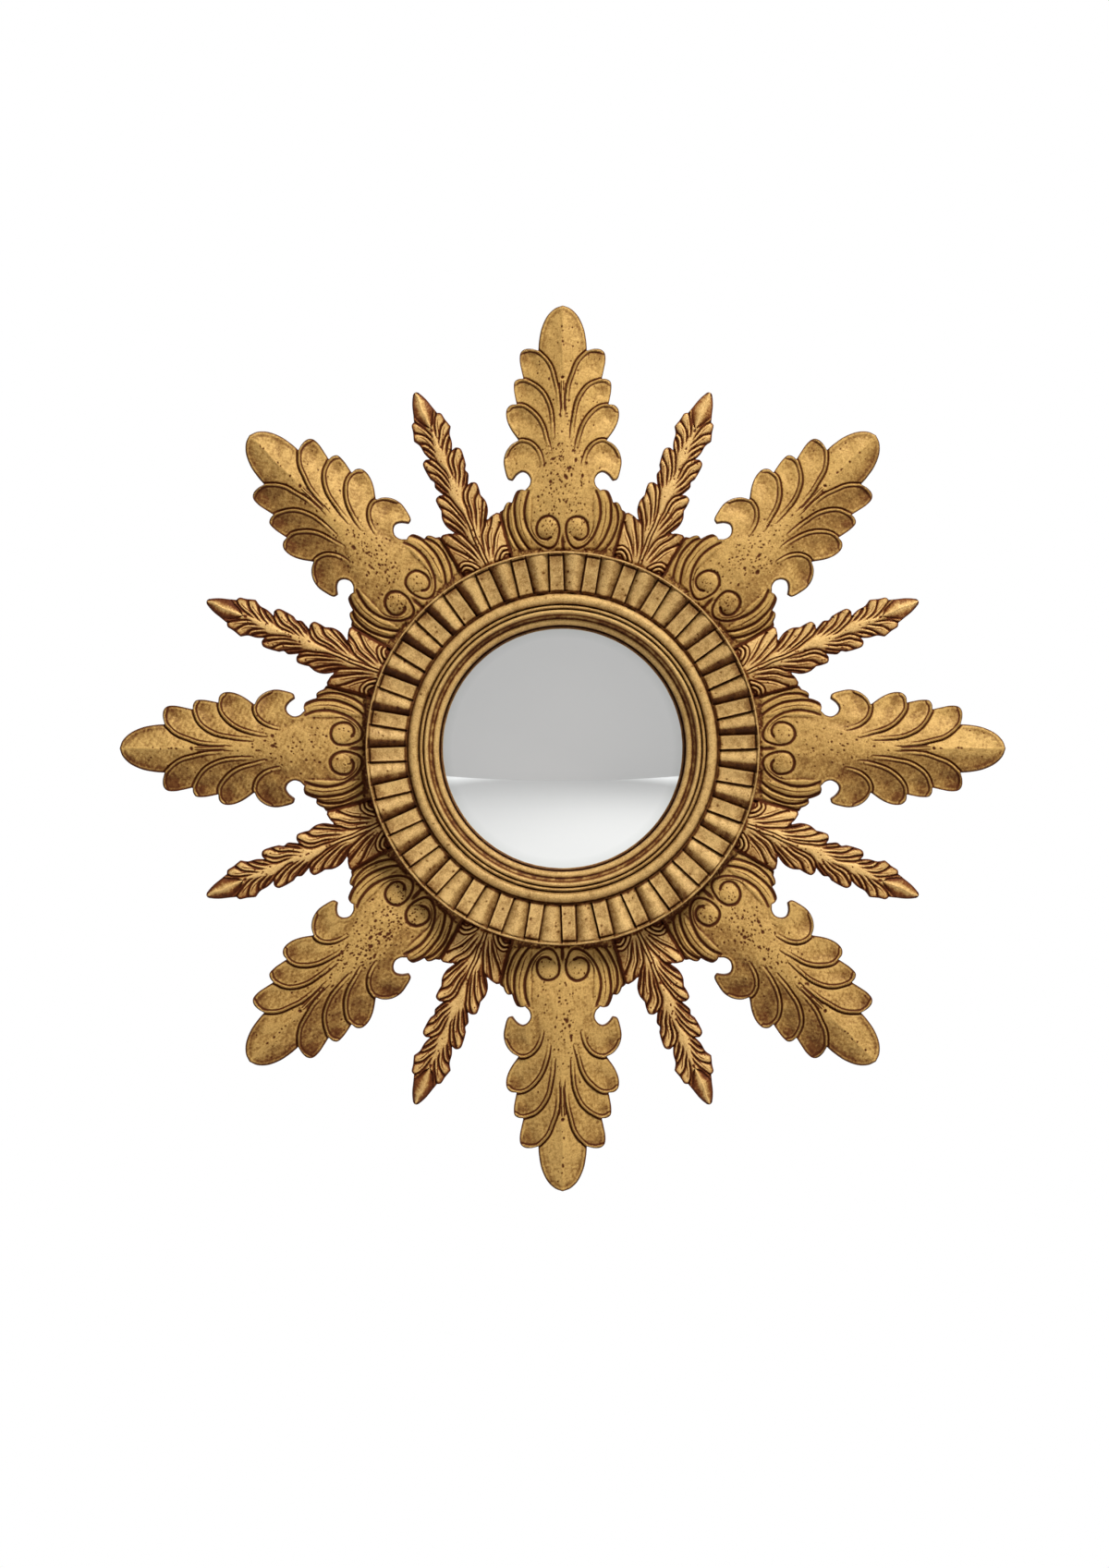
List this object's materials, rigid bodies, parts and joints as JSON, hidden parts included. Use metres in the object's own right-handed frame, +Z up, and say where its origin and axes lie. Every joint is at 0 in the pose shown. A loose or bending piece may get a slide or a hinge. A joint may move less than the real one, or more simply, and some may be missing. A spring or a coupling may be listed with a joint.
{
  "type": "convex wall mirror",
  "caption": "Round convex wall mirror in a gilded sunburst frame of carved acanthus leaves and slim fronds round a fluted ring moulding.",
  "frame": {"origin": "middle of the flat back, where the mirror's axis leaves the backing board", "axes": "+Z up, -Y out of the glass towards the room, +X to the viewer's right, +Y towards the wall"},
  "size_m": [0.7, 0.0446, 0.7],
  "materials": {
    "gilt_leaf": "cast composition, gilded and toned with brown in the hollows",
    "gilt_frond": "cast composition, gilded and toned with brown in the hollows",
    "gilt_ring": "cast composition, gilded and toned with brown in the grooves",
    "gilt_slip": "cast composition, gilded, dark brown in the cove",
    "plywood": "bare birch plywood",
    "hardboard": "smooth hardboard",
    "foam": "dark closed-cell foam",
    "mirror_glass": "silvered on the back",
    "zinc_screw": "zinc plated",
    "zinc_plate": "zinc plated",
    "brassed_steel": "brass plated",
    "rubber": "moulded"
  },
  "bodies": {
    "mirror": {"carrier_ring": "plywood", "leaf_ray_1": "gilt_leaf", "leaf_ray_2": "gilt_leaf", "leaf_ray_3": "gilt_leaf", "leaf_ray_4": "gilt_leaf", "leaf_ray_5": "gilt_leaf", "leaf_ray_6": "gilt_leaf", "leaf_ray_7": "gilt_leaf", "leaf_ray_8": "gilt_leaf", "frond_ray_1": "gilt_frond", "frond_ray_2": "gilt_frond", "frond_ray_3": "gilt_frond", "frond_ray_4": "gilt_frond", "frond_ray_5": "gilt_frond", "frond_ray_6": "gilt_frond", "frond_ray_7": "gilt_frond", "frond_ray_8": "gilt_frond", "ring_moulding": "gilt_ring", "reeded_slip": "gilt_slip", "convex_glass": "mirror_glass", "glazing_strip": "foam", "packing_pad": "foam", "backing_board": "hardboard", "leaf_screw_1": "zinc_screw", "leaf_screw_2": "zinc_screw", "leaf_screw_3": "zinc_screw", "leaf_screw_4": "zinc_screw", "leaf_screw_5": "zinc_screw", "leaf_screw_6": "zinc_screw", "leaf_screw_7": "zinc_screw", "leaf_screw_8": "zinc_screw", "frond_screw_1": "zinc_screw", "frond_screw_2": "zinc_screw", "frond_screw_3": "zinc_screw", "frond_screw_4": "zinc_screw", "frond_screw_5": "zinc_screw", "frond_screw_6": "zinc_screw", "frond_screw_7": "zinc_screw", "frond_screw_8": "zinc_screw", "ring_screw_1": "zinc_screw", "ring_screw_2": "zinc_screw", "ring_screw_3": "zinc_screw", "ring_screw_4": "zinc_screw", "button_screw_1": "zinc_plate", "button_screw_2": "zinc_plate", "button_screw_3": "zinc_plate", "button_screw_4": "zinc_plate", "hanger_strap": "brassed_steel", "hanger_screw_1": "brassed_steel", "hanger_screw_2": "brassed_steel", "wall_pad_1": "rubber", "wall_pad_2": "rubber"},
    "hanging_ring": {"hanging_ring": "brassed_steel"},
    "turn_button_1": {"turn_button_1": "zinc_plate"},
    "turn_button_2": {"turn_button_2": "zinc_plate"},
    "turn_button_3": {"turn_button_3": "zinc_plate"},
    "turn_button_4": {"turn_button_4": "zinc_plate"}
  },
  "joints": [
    {"name": "hanging_ring_fold", "type": "hinge", "parent": "mirror", "child": "hanging_ring", "pos_m": [0, 0.0027, 0.1525], "axis": [-1, 0, 0], "range_deg": [0, 180]},
    {"name": "turn_button_1_turn", "type": "hinge", "parent": "mirror", "child": "turn_button_1", "pos_m": [0.0792, 0, 0.0792], "axis": [0, 1, 0], "continuous": true},
    {"name": "turn_button_2_turn", "type": "hinge", "parent": "mirror", "child": "turn_button_2", "pos_m": [0.0792, 0, -0.0792], "axis": [0, 1, 0], "continuous": true},
    {"name": "turn_button_3_turn", "type": "hinge", "parent": "mirror", "child": "turn_button_3", "pos_m": [-0.0792, 0, -0.0792], "axis": [0, 1, 0], "continuous": true},
    {"name": "turn_button_4_turn", "type": "hinge", "parent": "mirror", "child": "turn_button_4", "pos_m": [-0.0792, 0, 0.0792], "axis": [0, 1, 0], "continuous": true}
  ]
}
